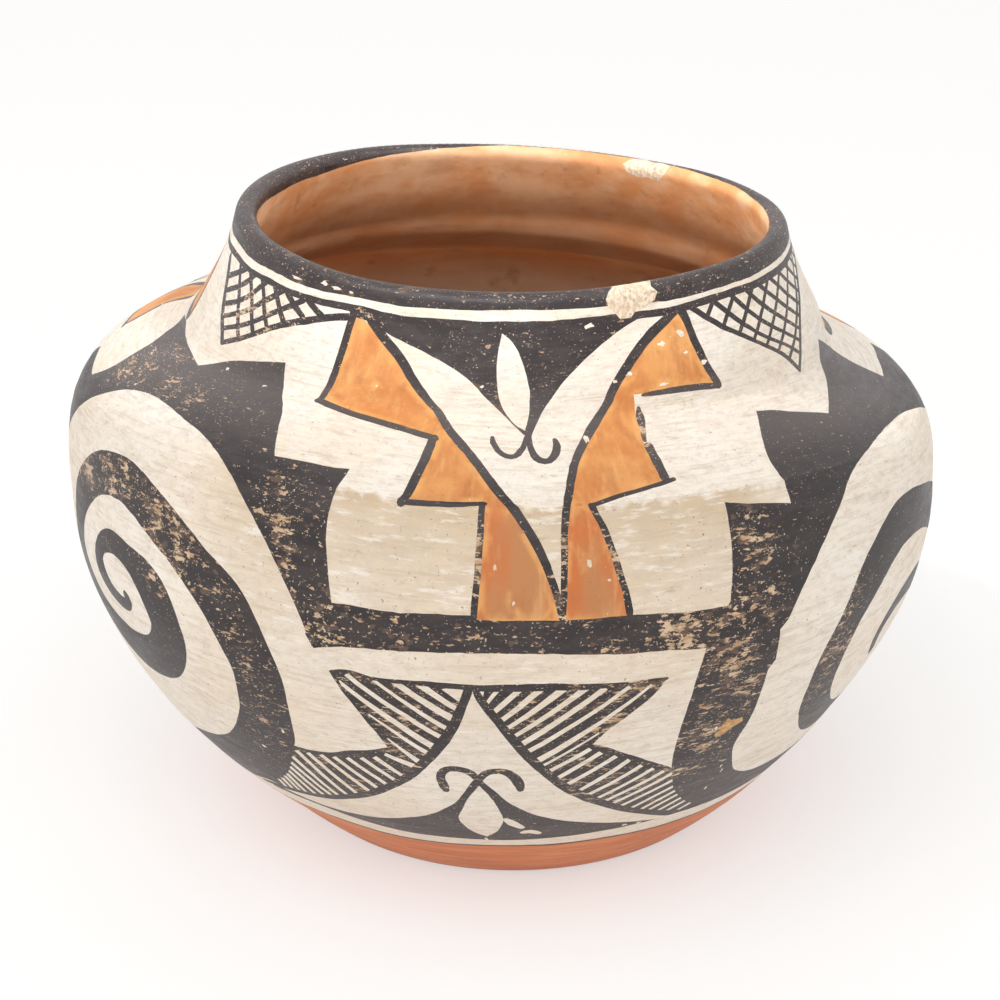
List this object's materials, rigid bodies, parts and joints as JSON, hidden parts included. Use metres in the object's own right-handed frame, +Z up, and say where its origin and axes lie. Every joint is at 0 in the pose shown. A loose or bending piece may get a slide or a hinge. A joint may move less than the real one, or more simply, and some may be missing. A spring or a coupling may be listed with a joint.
{
  "type": "pueblo pottery jar",
  "caption": "Hand-coiled low wide pottery jar with a moulded base, a rounded belly, a sloping shoulder and a short neck, slipped white and painted in black and orange.",
  "frame": {"origin": "on the ground under the middle of the belly", "axes": "+Z up through the mouth; the painted front faces -Y; +X is to the right of someone looking at the front"},
  "size_m": [0.2204, 0.2201, 0.1578],
  "materials": {
    "red_slip_earthenware": "stone-polished red slip, satin",
    "white_slip_earthenware": "stone-polished white slip with matte mineral paint",
    "black_painted_earthenware": "matte brown-black mineral paint over slip"
  },
  "bodies": {
    "root": {"moulded_base": "red_slip_earthenware", "lower_wall_coil_1": "white_slip_earthenware", "lower_wall_coil_2": "white_slip_earthenware", "lower_wall_coil_3": "white_slip_earthenware", "lower_wall_coil_4": "white_slip_earthenware", "keel_coil": "white_slip_earthenware", "shoulder_coil": "white_slip_earthenware", "neck_coil": "white_slip_earthenware", "rim_coil": "black_painted_earthenware"}
  },
  "joints": []
}
